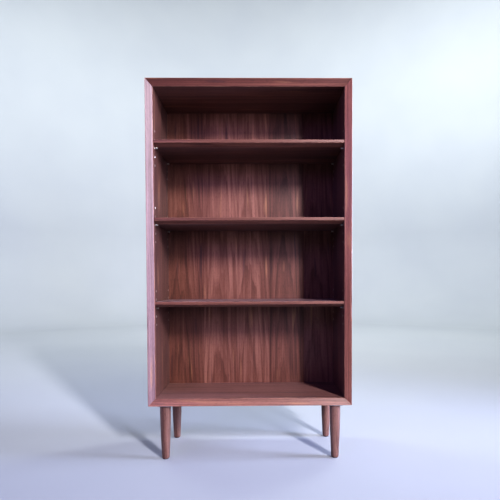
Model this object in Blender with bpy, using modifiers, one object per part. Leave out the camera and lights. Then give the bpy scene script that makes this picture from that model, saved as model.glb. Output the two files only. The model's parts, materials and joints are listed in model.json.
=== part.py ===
"""Free-standing bookcase with three adjustable shelves, built as separate pieces.

Run it with: blender --background --python part.py
Metres, +Z up. The origin is on the floor under the middle of the case. The open front faces -Y.
"""

import math

import bmesh
import bpy
from mathutils import Matrix, Vector

# Overall sizes.
CASE_WIDTH = 0.762
CASE_DEPTH = 0.280
CASE_HEIGHT = 1.211
CASE_BOTTOM_Z = 0.208

# Case boards: every front edge slopes inward, and a rabbet at the back holds the back panel.
BOARD_THICKNESS = 0.026
FRONT_SLOPE_DEPTH = 0.012
RABBET_WIDTH = 0.010
BACK_PANEL_THICKNESS = 0.009
BACK_RECESS = 0.017

# Shelves: a thin front edge over a long slope that thins the board from below.
SHELF_THICKNESS = 0.021
SHELF_EDGE_HEIGHT = 0.011
SHELF_SLOPE_RUN = 0.021
SHELF_SETBACK = 0.001
SHELF_END_CLEARANCE = 0.001
SHELF_BACK_CLEARANCE = 0.003
SHELF_ARRIS = 0.0006

# Pin holes: a group of five for each shelf, in a front and a back row on both sides.
HOLE_PITCH = 0.032
HOLES_EACH_WAY = 2
HOLE_SIDES = 12
MIDDLE_HOLE_HEIGHTS = (0.3655, 0.6790, 0.9665)
FRONT_ROW_INSET = 0.038
BACK_ROW_INSET = 0.012

# Shelf pins.
PIN_SHANK_DIAMETER = 0.0050
PIN_SHANK_LENGTH = 0.010
PIN_RUNNING_CLEARANCE = 0.0002
PIN_HEAD_DIAMETER = 0.0070
PIN_HEAD_LENGTH = 0.0095
PIN_HEAD_ROUNDING = 0.0012

# Legs, placed by their centres.
LEG_TOP_DIAMETER = 0.041
LEG_FOOT_DIAMETER = 0.028
LEG_SWELL = 0.0012
LEG_EDGE_ROUNDING = 0.0020
LEG_SIDE_INSET = 0.058
LEG_END_INSET = 0.032
LEG_RINGS = 6

# Leg hardware.
PLATE_SIZE = 0.054
PLATE_THICKNESS = 0.0025
PLATE_CORNER_RADIUS = 0.006
BOLT_DIAMETER = 0.008
BOLT_IN_LEG = 0.034
BOLT_ABOVE_PLATE = 0.009
SCREW_SHANK_DIAMETER = 0.0036
SCREW_HEAD_DIAMETER = 0.0072
SCREW_HEAD_HEIGHT = 0.0018
SCREW_HEAD_RIM = 0.0003
SCREW_LENGTH = 0.016
SCREW_FROM_PLATE_EDGE = 0.0065

# Screws that hold the back panel in its rabbet: three up each side, one above and one below.
BACK_SCREW_EDGE_INSET = 0.005
BACK_SCREW_HEIGHTS = (0.150, 0.600, 1.050)

# Floor glides.
GLIDE_DIAMETER = 0.023
GLIDE_THICKNESS = 0.003
GLIDE_EDGE_ROUNDING = 0.001
NAIL_DIAMETER = 0.0025
NAIL_LENGTH = 0.014

# Gap kept between pieces that touch, spare depth past a bolt, screw, nail or pin, how far a
# cutter runs past the face that it enters, and the turning steps of the round pieces.
GAP = 0.0003
SPARE_DEPTH = 0.002
CUTTER_OVERRUN = 0.004
STEPS_LEG = 24
STEPS_SMALL = 12

# Values that follow from the sizes above.
INNER_HALF_WIDTH = CASE_WIDTH / 2 - BOARD_THICKNESS
INNER_DEPTH = CASE_DEPTH - BACK_RECESS - BACK_PANEL_THICKNESS
HOLE_DIAMETER = PIN_SHANK_DIAMETER + 2 * PIN_RUNNING_CLEARANCE
HOLE_DEPTH = PIN_SHANK_LENGTH + SPARE_DEPTH
FRONT_Y = -CASE_DEPTH / 2
CASE_TOP_Z = CASE_BOTTOM_Z + CASE_HEIGHT
FRONT_ROW_Y = FRONT_Y + FRONT_ROW_INSET
BACK_ROW_Y = FRONT_Y + INNER_DEPTH - BACK_ROW_INSET
ROW_PLACES = (("front", FRONT_ROW_Y), ("back", BACK_ROW_Y))
SIDE_PLACES = (("left", -1), ("right", 1))
SHELF_UNDERSIDES = tuple(
    CASE_BOTTOM_Z + height + PIN_HEAD_DIAMETER / 2 + GAP for height in MIDDLE_HOLE_HEIGHTS
)
PLATE_BOTTOM_Z = CASE_BOTTOM_Z - GAP - PLATE_THICKNESS
LEG_TOP_Z = PLATE_BOTTOM_Z - GAP
LEG_BOTTOM_Z = GLIDE_THICKNESS + GAP
PLATE_TOP_Z = CASE_BOTTOM_Z - GAP
BOLT_HOLE_TOP_Z = PLATE_TOP_Z + BOLT_ABOVE_PLATE + SPARE_DEPTH
SCREW_HOLE_TOP_Z = PLATE_BOTTOM_Z + SCREW_LENGTH + SPARE_DEPTH
SCREW_OFFSET = PLATE_SIZE / 2 - SCREW_FROM_PLATE_EDGE
BACK_PANEL_FRONT_Y = FRONT_Y + INNER_DEPTH + GAP
BACK_PANEL_REAR_Y = BACK_PANEL_FRONT_Y + BACK_PANEL_THICKNESS
BACK_SCREW_X = INNER_HALF_WIDTH + BACK_SCREW_EDGE_INSET
BACK_SCREW_POINT_Y = BACK_PANEL_REAR_Y - SCREW_LENGTH - SPARE_DEPTH / 2

WALNUT = ((0.150, 0.050, 0.031), 0.42, 0.0)
WALNUT_SHELF = ((0.165, 0.056, 0.034), 0.42, 0.0)
WALNUT_LEG = ((0.120, 0.042, 0.028), 0.38, 0.0)
NICKEL = ((0.60, 0.58, 0.55), 0.28, 1.0)
ZINC_STEEL = ((0.46, 0.46, 0.47), 0.38, 1.0)
NYLON = ((0.035, 0.030, 0.027), 0.55, 0.0)


def clear_scene():
    """Removes whatever the scene holds."""
    for thing in list(bpy.data.objects):
        bpy.data.objects.remove(thing, do_unlink=True)


def new_collection(name):
    """Adds a collection to the scene."""
    collection = bpy.data.collections.new(name)
    bpy.context.scene.collection.children.link(collection)
    return collection


def new_material(name, look):
    """Makes a Principled material from its colour, roughness and metallic value."""
    colour, roughness, metallic = look
    material = bpy.data.materials.new(name)
    material.use_nodes = True
    shader = material.node_tree.nodes["Principled BSDF"]
    shader.inputs["Base Color"].default_value = (*colour, 1.0)
    shader.inputs["Roughness"].default_value = roughness
    shader.inputs["Metallic"].default_value = metallic
    return material


def new_object(name, mesh, collection, look=None):
    """Links a mesh as a named object, with a material of its own."""
    thing = bpy.data.objects.new(name, mesh)
    collection.objects.link(thing)
    if look is not None:
        thing.data.materials.append(new_material(name, look))
    return thing


def mesh_from(bm, name):
    """Turns a bmesh into mesh data with its faces pointing out."""
    bmesh.ops.recalc_face_normals(bm, faces=bm.faces)
    mesh = bpy.data.meshes.new(name)
    bm.to_mesh(mesh)
    bm.free()
    return mesh


def box_mesh(name, low, high):
    """A box between two corners."""
    low = Vector(low)
    high = Vector(high)
    bm = bmesh.new()
    bmesh.ops.create_cube(bm, size=1.0)
    bmesh.ops.scale(bm, vec=high - low, verts=bm.verts)
    bmesh.ops.translate(bm, vec=(low + high) / 2, verts=bm.verts)
    return mesh_from(bm, name)


def add_cylinder(bm, diameter, start, end, sides):
    """Adds a capped cylinder to a bmesh, from one point of its axis to another."""
    start = Vector(start)
    along = Vector(end) - start
    turn = along.to_track_quat("Z", "Y").to_matrix().to_4x4()
    bmesh.ops.create_cone(
        bm,
        cap_ends=True,
        segments=sides,
        radius1=diameter / 2,
        radius2=diameter / 2,
        depth=along.length,
        matrix=Matrix.Translation(start + along / 2) @ turn,
    )


def outline_mesh(name, points, length):
    """An outline in local X and Y, extruded along local Z and centred there."""
    curve = bpy.data.curves.new(name, "CURVE")
    curve.dimensions = "2D"
    curve.fill_mode = "BOTH"
    curve.extrude = length / 2
    spline = curve.splines.new("POLY")
    spline.points.add(len(points) - 1)
    spline.use_cyclic_u = True
    for point, (x, y) in zip(spline.points, points):
        point.co = (x, y, 0.0, 1.0)
    guide = bpy.data.objects.new(name, curve)
    bpy.context.scene.collection.objects.link(guide)
    graph = bpy.context.evaluated_depsgraph_get()
    mesh = bpy.data.meshes.new_from_object(guide.evaluated_get(graph))
    bpy.data.objects.remove(guide, do_unlink=True)
    bpy.data.curves.remove(curve)
    bm = bmesh.new()
    bm.from_mesh(mesh)
    bpy.data.meshes.remove(mesh)
    bmesh.ops.remove_doubles(bm, verts=bm.verts, dist=0.00001)
    return mesh_from(bm, name)


def cut_by_plane(mesh, point, normal):
    """Removes what lies on the normal's side of a plane and closes the cut."""
    bm = bmesh.new()
    bm.from_mesh(mesh)
    everything = list(bm.verts) + list(bm.edges) + list(bm.faces)
    cut = bmesh.ops.bisect_plane(
        bm, geom=everything, dist=0.000001, plane_co=point, plane_no=normal, clear_outer=True
    )
    rim = [piece for piece in cut["geom_cut"] if isinstance(piece, bmesh.types.BMEdge)]
    bmesh.ops.holes_fill(bm, edges=rim, sides=0)
    bmesh.ops.recalc_face_normals(bm, faces=bm.faces)
    bm.to_mesh(mesh)
    bm.free()


def turned_object(name, profile, collection, look, steps):
    """Turns a profile of (radius, height) points about local Z with a Screw modifier."""
    bm = bmesh.new()
    rim = [bm.verts.new((radius, 0.0, height)) for radius, height in profile]
    for first, second in zip(rim, rim[1:]):
        bm.edges.new((first, second))
    mesh = bpy.data.meshes.new(name)
    bm.to_mesh(mesh)
    bm.free()
    thing = new_object(name, mesh, collection, look)
    screw = thing.modifiers.new("Turned", "SCREW")
    screw.steps = steps
    screw.render_steps = steps
    screw.use_merge_vertices = True
    screw.merge_threshold = 0.00005
    screw.use_smooth_shade = True
    return thing


def rounded_corner(centre, radius, from_angle, to_angle, parts=2):
    """Points of an arc in the (radius, height) plane, angles in degrees from the outward radius."""
    points = []
    for index in range(parts + 1):
        angle = math.radians(from_angle + (to_angle - from_angle) * index / parts)
        points.append((centre[0] + radius * math.cos(angle), centre[1] + radius * math.sin(angle)))
    return points


def cut_with(thing, cutter):
    """Cuts one object with another."""
    boolean = thing.modifiers.new("Cut", "BOOLEAN")
    boolean.operation = "DIFFERENCE"
    boolean.solver = "EXACT"
    boolean.object = cutter
    return boolean


def new_cutter(name, bm, collection):
    """Makes a hidden cutter from a bmesh."""
    cutter = new_object(name, mesh_from(bm, name), collection)
    cutter.hide_render = True
    cutter.display_type = "WIRE"
    return cutter


def hole_heights():
    """Heights of every pin hole above the case's bottom face."""
    steps = range(-HOLES_EACH_WAY, HOLES_EACH_WAY + 1)
    return [middle + step * HOLE_PITCH for middle in MIDDLE_HOLE_HEIGHTS for step in steps]


def leg_places():
    """Name, X and Y of each leg's centre."""
    x = CASE_WIDTH / 2 - LEG_SIDE_INSET
    y = CASE_DEPTH / 2 - LEG_END_INSET
    return [
        ("front_left", -x, -y),
        ("front_right", x, -y),
        ("back_left", -x, y),
        ("back_right", x, y),
    ]


def screw_places(x, y):
    """Number, X and Y of the four screws of the plate at a leg's centre."""
    signs = ((-1, -1), (1, -1), (1, 1), (-1, 1))
    places = enumerate(signs, start=1)
    return [(number, x + sx * SCREW_OFFSET, y + sy * SCREW_OFFSET) for number, (sx, sy) in places]


def back_screw_places():
    """Name, X and Z of each screw in the back panel."""
    reach = CASE_HEIGHT / 2 - BOARD_THICKNESS + BACK_SCREW_EDGE_INSET
    middle_z = CASE_BOTTOM_Z + CASE_HEIGHT / 2
    places = [("bottom", 0.0, middle_z - reach), ("top", 0.0, middle_z + reach)]
    for side_name, side in SIDE_PLACES:
        for number, height in enumerate(BACK_SCREW_HEIGHTS, start=1):
            name = f"{side_name}_{number}"
            places.append((name, side * BACK_SCREW_X, CASE_BOTTOM_Z + height))
    return places


def board_outline():
    """Section of a case board: X from its outer face inward, Y from its front edge back."""
    rabbet_x = BOARD_THICKNESS - RABBET_WIDTH
    return [
        (0.0, 0.0),
        (BOARD_THICKNESS, FRONT_SLOPE_DEPTH),
        (BOARD_THICKNESS, INNER_DEPTH),
        (rabbet_x, INNER_DEPTH),
        (rabbet_x, CASE_DEPTH),
        (0.0, CASE_DEPTH),
    ]


def make_board(name, length, place, turn, collection):
    """A case board mitred at both ends, turned about the depth axis into its place."""
    mesh = outline_mesh(name, board_outline(), length)
    half_gap = GAP / 2
    for end in (-1, 1):
        normal = Vector((1.0, 0.0, end)).normalized()
        cut_by_plane(mesh, Vector((0.0, 0.0, end * length / 2)) - normal * half_gap, normal)
    board = new_object(name, mesh, collection, WALNUT)
    board.location = place
    board.rotation_euler = (0.0, turn, 0.0)
    return board


def pin_hole_cutter(name, side, collection):
    """Cutter for the two rows of pin holes in one side."""
    inner_x = side * INNER_HALF_WIDTH
    bottom_x = side * (INNER_HALF_WIDTH + HOLE_DEPTH)
    mouth_x = inner_x - side * CUTTER_OVERRUN
    bm = bmesh.new()
    for _, row_y in ROW_PLACES:
        for height in hole_heights():
            z = CASE_BOTTOM_Z + height
            add_cylinder(bm, HOLE_DIAMETER, (mouth_x, row_y, z), (bottom_x, row_y, z), HOLE_SIDES)
    return new_cutter(name, bm, collection)


def leg_fixing_cutter(collection):
    """Cutter for the bolt and screw holes in the bottom board's underside."""
    bolt_hole = BOLT_DIAMETER + 4 * GAP
    screw_hole = SCREW_SHANK_DIAMETER + 2 * GAP
    low = CASE_BOTTOM_Z - CUTTER_OVERRUN
    bm = bmesh.new()
    for _, x, y in leg_places():
        add_cylinder(bm, bolt_hole, (x, y, low), (x, y, BOLT_HOLE_TOP_Z), STEPS_SMALL)
        for _, screw_x, screw_y in screw_places(x, y):
            start = (screw_x, screw_y, low)
            end = (screw_x, screw_y, SCREW_HOLE_TOP_Z)
            add_cylinder(bm, screw_hole, start, end, HOLE_SIDES)
    return new_cutter("leg_fixing_holes", bm, collection)


def back_screw_cutter(collection):
    """Cutter for the back screws' pilot holes, for all four boards."""
    bm = bmesh.new()
    diameter = SCREW_SHANK_DIAMETER + 2 * GAP
    for _, x, z in back_screw_places():
        start = (x, BACK_PANEL_REAR_Y, z)
        add_cylinder(bm, diameter, start, (x, BACK_SCREW_POINT_Y, z), HOLE_SIDES)
    return new_cutter("back_screw_holes", bm, collection)


def make_back_panel(parts, cutters):
    """The back panel and the countersunk screws that hold it."""
    middle_z = CASE_BOTTOM_Z + CASE_HEIGHT / 2
    half_x = INNER_HALF_WIDTH + RABBET_WIDTH - GAP
    half_z = CASE_HEIGHT / 2 - BOARD_THICKNESS + RABBET_WIDTH - GAP
    low = (-half_x, BACK_PANEL_FRONT_Y, middle_z - half_z)
    high = (half_x, BACK_PANEL_REAR_Y, middle_z + half_z)
    panel = new_object("back_panel", box_mesh("back_panel", low, high), parts, WALNUT)
    for place, x, z in back_screw_places():
        profile = countersink_profile(BACK_PANEL_THICKNESS)
        sink = turned_cutter(f"back_sink_{place}", profile, cutters)
        screw = turned_object(
            f"back_screw_{place}", screw_profile(), parts, ZINC_STEEL, STEPS_SMALL
        )
        for thing in (sink, screw):
            thing.location = (x, BACK_PANEL_REAR_Y, z)
            thing.rotation_euler = (math.pi / 2, 0.0, 0.0)
        cut_with(panel, sink)


def make_case(parts, cutters):
    """The four mitred boards, and the back panel screwed into their rabbets."""
    middle_z = CASE_BOTTOM_Z + CASE_HEIGHT / 2
    half = CASE_WIDTH / 2
    quarter = math.pi / 2
    left = make_board("left_side", CASE_HEIGHT, (-half, FRONT_Y, middle_z), 0.0, parts)
    right = make_board("right_side", CASE_HEIGHT, (half, FRONT_Y, middle_z), math.pi, parts)
    top = make_board("top_panel", CASE_WIDTH, (0.0, FRONT_Y, CASE_TOP_Z), quarter, parts)
    bottom = make_board("bottom_panel", CASE_WIDTH, (0.0, FRONT_Y, CASE_BOTTOM_Z), -quarter, parts)
    cut_with(left, pin_hole_cutter("left_pin_holes", -1, cutters))
    cut_with(right, pin_hole_cutter("right_pin_holes", 1, cutters))
    cut_with(bottom, leg_fixing_cutter(cutters))
    back_holes = back_screw_cutter(cutters)
    for board in (left, right, top, bottom):
        cut_with(board, back_holes)
    make_back_panel(parts, cutters)


def make_shelf(number, underside_z, collection):
    """A shelf on its pins. Its outline is in Y and Z, and it is extruded across the case."""
    front = FRONT_SLOPE_DEPTH + SHELF_SETBACK
    back = INNER_DEPTH - SHELF_BACK_CLEARANCE
    slope_height = SHELF_THICKNESS - SHELF_EDGE_HEIGHT
    outline = [
        (front, slope_height),
        (front + SHELF_SLOPE_RUN, 0.0),
        (back, 0.0),
        (back, SHELF_THICKNESS),
        (front, SHELF_THICKNESS),
    ]
    name = f"shelf_{number}"
    length = 2 * (INNER_HALF_WIDTH - SHELF_END_CLEARANCE)
    shelf = new_object(name, outline_mesh(name, outline, length), collection, WALNUT_SHELF)
    shelf.rotation_euler = (math.pi / 2, 0.0, math.pi / 2)
    shelf.location = (0.0, FRONT_Y, underside_z)
    arris = shelf.modifiers.new("Arris", "BEVEL")
    arris.width = SHELF_ARRIS
    arris.segments = 1
    return shelf


def make_pin(name, side, row_y, z, collection):
    """A shelf pin. Its local Z runs along its axis, out of its hole."""
    shank_radius = PIN_SHANK_DIAMETER / 2
    head_radius = PIN_HEAD_DIAMETER / 2
    round_centre = (head_radius - PIN_HEAD_ROUNDING, PIN_HEAD_LENGTH - PIN_HEAD_ROUNDING)
    profile = [(0.0, PIN_HEAD_LENGTH)]
    profile += rounded_corner(round_centre, PIN_HEAD_ROUNDING, 90, 0)
    profile += [
        (head_radius, GAP),
        (shank_radius, GAP),
        (shank_radius, -PIN_SHANK_LENGTH),
        (0.0, -PIN_SHANK_LENGTH),
    ]
    pin = turned_object(name, profile, collection, NICKEL, STEPS_SMALL)
    pin.location = (side * INNER_HALF_WIDTH, row_y, z)
    pin.rotation_euler = (0.0, -side * math.pi / 2, 0.0)
    return pin


def make_shelves(parts):
    """The shelves, numbered from the top, each with its four pins."""
    order = sorted(zip(MIDDLE_HOLE_HEIGHTS, SHELF_UNDERSIDES), reverse=True)
    for number, (height, underside_z) in enumerate(order, start=1):
        make_shelf(number, underside_z, parts)
        for row, row_y in ROW_PLACES:
            for side_name, side in SIDE_PLACES:
                name = f"pin_{number}_{row}_{side_name}"
                make_pin(name, side, row_y, CASE_BOTTOM_Z + height, parts)


def leg_radius(share):
    """Leg radius at a share of its length from the foot, with a slight swell."""
    straight = LEG_FOOT_DIAMETER + (LEG_TOP_DIAMETER - LEG_FOOT_DIAMETER) * share
    return straight / 2 + LEG_SWELL * math.sin(math.pi * share)


def leg_profile():
    """Leg profile with a bolt hole down from the top and a nail hole up from the foot."""
    bolt_radius = BOLT_DIAMETER / 2 + GAP
    nail_radius = NAIL_DIAMETER / 2 + GAP
    length = LEG_TOP_Z - LEG_BOTTOM_Z
    nail_hole_top = NAIL_LENGTH + SPARE_DEPTH
    bolt_hole_bottom = length - BOLT_IN_LEG - SPARE_DEPTH
    rounding = LEG_EDGE_ROUNDING
    top_centre = (LEG_TOP_DIAMETER / 2 - rounding, length - rounding)
    foot_centre = (LEG_FOOT_DIAMETER / 2 - rounding, rounding)
    profile = [(0.0, bolt_hole_bottom), (bolt_radius, bolt_hole_bottom), (bolt_radius, length)]
    profile += rounded_corner(top_centre, rounding, 90, 0)
    for ring in range(LEG_RINGS - 1, 0, -1):
        share = ring / LEG_RINGS
        profile.append((leg_radius(share), share * length))
    profile += rounded_corner(foot_centre, rounding, 0, -90)
    profile += [(nail_radius, 0.0), (nail_radius, nail_hole_top), (0.0, nail_hole_top)]
    return profile


def glide_profile():
    """A floor glide with its nail pointing up into the leg."""
    radius = GLIDE_DIAMETER / 2
    rounding = GLIDE_EDGE_ROUNDING
    nail_radius = NAIL_DIAMETER / 2
    nail_top = GLIDE_THICKNESS + GAP + NAIL_LENGTH
    profile = [(0.0, nail_top), (nail_radius, nail_top), (nail_radius, GLIDE_THICKNESS)]
    profile.append((radius, GLIDE_THICKNESS))
    profile += rounded_corner((radius - rounding, rounding), rounding, 0, -90)
    profile.append((0.0, 0.0))
    return profile


def screw_profile():
    """A countersunk plate screw, head down, with its point up."""
    head_radius = SCREW_HEAD_DIAMETER / 2
    shank_radius = SCREW_SHANK_DIAMETER / 2
    return [
        (0.0, SCREW_LENGTH),
        (shank_radius, SCREW_LENGTH - 2 * shank_radius),
        (shank_radius, SCREW_HEAD_HEIGHT),
        (head_radius, SCREW_HEAD_RIM),
        (head_radius, 0.0),
        (0.0, 0.0),
    ]


def plate_mesh(name):
    """A square plate with rounded corners, its underside at local Z 0."""
    half = PLATE_SIZE / 2
    mesh = box_mesh(name, (-half, -half, 0.0), (half, half, PLATE_THICKNESS))
    bm = bmesh.new()
    bm.from_mesh(mesh)
    upright = [edge for edge in bm.edges if abs(edge.verts[0].co.z - edge.verts[1].co.z) > GAP]
    bmesh.ops.bevel(
        bm, geom=upright, offset=PLATE_CORNER_RADIUS, segments=4, profile=0.5, affect="EDGES"
    )
    bm.to_mesh(mesh)
    bm.free()
    return mesh


def plate_cutter(name, x, y, collection):
    """Cutter for the bolt hole in the middle of one plate."""
    below = PLATE_BOTTOM_Z - CUTTER_OVERRUN
    above = PLATE_TOP_Z + CUTTER_OVERRUN
    bm = bmesh.new()
    add_cylinder(bm, BOLT_DIAMETER + 2 * GAP, (x, y, below), (x, y, above), STEPS_SMALL)
    return new_cutter(name, bm, collection)


def countersink_profile(thickness):
    """Profile of a countersunk hole through a thickness that clears a screw all round."""
    head_radius = SCREW_HEAD_DIAMETER / 2 + GAP
    shank_radius = SCREW_SHANK_DIAMETER / 2 + GAP
    top = thickness + CUTTER_OVERRUN
    return [
        (0.0, top),
        (shank_radius, top),
        (shank_radius, SCREW_HEAD_HEIGHT + GAP / 2),
        (head_radius, SCREW_HEAD_RIM + GAP / 2),
        (head_radius, -CUTTER_OVERRUN),
        (0.0, -CUTTER_OVERRUN),
    ]


def turned_cutter(name, profile, collection):
    """A hidden cutter turned from a profile."""
    cutter = turned_object(name, profile, collection, None, STEPS_SMALL)
    cutter.hide_render = True
    cutter.display_type = "WIRE"
    return cutter


def make_leg(place, x, y, parts, cutters):
    """One leg with its plate, hanger bolt, four screws and floor glide."""
    leg = turned_object(f"leg_{place}", leg_profile(), parts, WALNUT_LEG, STEPS_LEG)
    leg.location = (x, y, LEG_BOTTOM_Z)
    glide = turned_object(f"glide_{place}", glide_profile(), parts, NYLON, STEPS_SMALL)
    glide.location = (x, y, 0.0)
    bm = bmesh.new()
    low = LEG_TOP_Z - BOLT_IN_LEG
    high = PLATE_TOP_Z + BOLT_ABOVE_PLATE
    add_cylinder(bm, BOLT_DIAMETER, (0.0, 0.0, low), (0.0, 0.0, high), STEPS_SMALL)
    name = f"hanger_bolt_{place}"
    bolt = new_object(name, mesh_from(bm, name), parts, ZINC_STEEL)
    bolt.location = (x, y, 0.0)
    name = f"leg_plate_{place}"
    plate = new_object(name, plate_mesh(name), parts, ZINC_STEEL)
    plate.location = (x, y, PLATE_BOTTOM_Z)
    cut_with(plate, plate_cutter(f"plate_hole_{place}", x, y, cutters))
    for number, screw_x, screw_y in screw_places(x, y):
        profile = countersink_profile(PLATE_THICKNESS)
        sink = turned_cutter(f"plate_sink_{place}_{number}", profile, cutters)
        sink.location = (screw_x, screw_y, PLATE_BOTTOM_Z)
        cut_with(plate, sink)
        name = f"plate_screw_{place}_{number}"
        screw = turned_object(name, screw_profile(), parts, ZINC_STEEL, STEPS_SMALL)
        screw.location = (screw_x, screw_y, PLATE_BOTTOM_Z)


def main():
    """Builds the whole bookcase."""
    clear_scene()
    parts = new_collection("adjustable_bookcase")
    cutters = new_collection("cutters")
    make_case(parts, cutters)
    make_shelves(parts)
    for place, x, y in leg_places():
        make_leg(place, x, y, parts, cutters)


main()
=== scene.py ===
"""Oiled walnut bookcase with three adjustable shelves, dressed for a soft studio picture.

Metres, +Z up. The open front faces -Y and the origin is on the floor under the middle of the case.
Sizes and places come from the fixed frame, so every dressed piece sits where its solid does.
"""

import json
import logging
import math
from collections.abc import Iterable, Sequence
from dataclasses import dataclass, field
from enum import Enum
from typing import Any, NamedTuple

import bmesh
import bpy
from mathutils import Matrix, Vector

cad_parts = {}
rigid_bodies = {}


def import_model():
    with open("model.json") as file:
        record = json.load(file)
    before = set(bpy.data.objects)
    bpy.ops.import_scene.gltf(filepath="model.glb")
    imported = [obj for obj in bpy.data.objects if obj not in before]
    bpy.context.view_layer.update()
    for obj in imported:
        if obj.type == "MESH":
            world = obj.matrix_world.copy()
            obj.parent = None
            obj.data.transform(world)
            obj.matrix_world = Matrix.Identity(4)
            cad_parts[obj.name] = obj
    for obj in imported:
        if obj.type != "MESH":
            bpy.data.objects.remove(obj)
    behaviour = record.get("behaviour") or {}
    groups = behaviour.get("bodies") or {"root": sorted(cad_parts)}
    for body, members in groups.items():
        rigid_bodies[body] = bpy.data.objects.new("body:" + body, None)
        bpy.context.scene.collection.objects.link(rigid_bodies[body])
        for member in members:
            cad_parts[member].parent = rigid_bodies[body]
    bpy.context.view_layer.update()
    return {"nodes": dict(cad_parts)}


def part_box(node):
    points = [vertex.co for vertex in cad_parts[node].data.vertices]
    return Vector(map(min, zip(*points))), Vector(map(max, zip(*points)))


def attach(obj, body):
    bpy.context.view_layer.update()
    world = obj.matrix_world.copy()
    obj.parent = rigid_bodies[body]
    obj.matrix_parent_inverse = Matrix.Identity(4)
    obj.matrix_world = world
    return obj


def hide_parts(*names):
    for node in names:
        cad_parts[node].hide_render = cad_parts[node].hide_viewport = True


LOG = logging.getLogger("bookcase")

Point2 = tuple[float, float]
Point3 = tuple[float, float, float]
Colour = tuple[float, float, float, float]
Tree = bpy.types.NodeTree
Node = bpy.types.Node
Socket = bpy.types.NodeSocket
Material = bpy.types.Material
Piece = bpy.types.Object
Bm = bmesh.types.BMesh

# Faces narrower than this belong to an eased edge.
WIDEST_ARRIS_FACE = 0.0012
# A cutter starts this far outside the wood, so that it cuts clean through the face.
CUTTER_START = 0.004


# ----- Colour and shader helpers -----


def linear(hex_colour: str) -> Colour:
    """Turns an sRGB hex colour into linear RGBA.

    Args:
        hex_colour: Six hex digits with a leading hash sign.

    Returns:
        Linear red, green and blue, with an alpha of one.
    """
    digits = hex_colour.lstrip("#")
    channels = [int(digits[i : i + 2], 16) / 255.0 for i in (0, 2, 4)]
    straight = [c / 12.92 if c <= 0.04045 else ((c + 0.055) / 1.055) ** 2.4 for c in channels]
    return (straight[0], straight[1], straight[2], 1.0)


def add_node(
    tree: Tree,
    kind: str,
    settings: dict[str, Any] | None = None,
    inputs: dict[str | int, Any] | None = None,
) -> Node:
    """Adds one shader node with its settings, values and links.

    Args:
        tree: The node tree that the node goes into.
        kind: Blender's node type name.
        settings: Attributes to set on the node.
        inputs: Socket name or index to a value, or to another node's output socket.

    Returns:
        The new node.
    """
    node = tree.nodes.new(kind)
    for name, value in (settings or {}).items():
        setattr(node, name, value)
    for socket, value in (inputs or {}).items():
        if isinstance(value, Socket):
            tree.links.new(value, node.inputs[socket])
        else:
            node.inputs[socket].default_value = value
    return node


def remap(value: Socket, source: Point2 = (0.0, 1.0), target: Point2 = (0.0, 1.0)) -> Socket:
    """Maps one range of values onto another, held at its ends.

    Args:
        value: The socket to map.
        source: The range that comes in.
        target: The range that goes out.

    Returns:
        The result's socket.
    """
    limits = {"From Min": source[0], "From Max": source[1], "To Min": target[0], "To Max": target[1]}
    limits["Value"] = value
    return add_node(value.id_data, "ShaderNodeMapRange", inputs=limits).outputs[0]


def object_noise(tree: Tree, scale: float, detail: float) -> Node:
    """Adds even noise that is fixed to the piece.

    Args:
        tree: The node tree.
        scale: Features per metre.
        detail: Octaves of noise.

    Returns:
        The noise node.
    """
    place = add_node(tree, "ShaderNodeTexCoord").outputs["Object"]
    settings = {"Vector": place, "Scale": scale, "Detail": detail}
    return add_node(tree, "ShaderNodeTexNoise", inputs=settings)


def bump(height: Socket, strength: float, distance: float) -> Socket:
    """Turns a height into a bent normal.

    Args:
        height: The height, about 0 to 1.
        strength: How much of the bump shows.
        distance: Depth of the relief in metres.

    Returns:
        The normal's socket.
    """
    inputs = {"Strength": strength, "Distance": distance, "Height": height}
    return add_node(height.id_data, "ShaderNodeBump", inputs=inputs).outputs[0]


def sum_up(operation: str, *values: Any) -> Socket:
    """Works out one sum in the shader.

    Args:
        operation: Blender's name of the operation.
        values: Numbers or output sockets in order, with a socket among them.

    Returns:
        The result's socket.
    """
    tree = next(value.id_data for value in values if isinstance(value, Socket))
    node = add_node(tree, "ShaderNodeMath", {"operation": operation}, dict(enumerate(values)))
    return node.outputs[0]


def spread(value: Socket, width: float, middle: float = 0.0) -> Socket:
    """Spreads a value of 0 to 1 evenly over a width round a middle."""
    return sum_up("MULTIPLY_ADD", value, width, middle - width / 2)


def colour_ramp(value: Socket, stops: dict[float, str | float]) -> Socket:
    """Turns a value into a colour.

    Args:
        value: The socket to turn into a colour.
        stops: Position to colour, as a hex colour or a grey value, in order.

    Returns:
        The colour's socket.
    """
    node = add_node(value.id_data, "ShaderNodeValToRGB", inputs={0: value})
    elements = node.color_ramp.elements
    while len(elements) < len(stops):
        elements.new(1.0)
    for element, (position, tone) in zip(elements, stops.items()):
        element.position = position
        element.color = linear(tone) if isinstance(tone, str) else (tone, tone, tone, 1.0)
    return node.outputs[0]


def mix_colour(blend: str, factor: Any, first: str | Socket, second: str | Socket) -> Socket:
    """Mixes two colours, of which one at least comes from a socket.

    Args:
        blend: Blender's name of the blend.
        factor: How much of the second colour shows.
        first: Hex colour or socket.
        second: Hex colour or socket.

    Returns:
        The mixed colour's socket.
    """
    tree = (second if isinstance(first, str) else first).id_data
    pair = [linear(tone) if isinstance(tone, str) else tone for tone in (first, second)]
    settings = {"data_type": "RGBA", "blend_type": blend}
    return add_node(tree, "ShaderNodeMix", settings, {0: factor, 6: pair[0], 7: pair[1]}).outputs[2]


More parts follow.
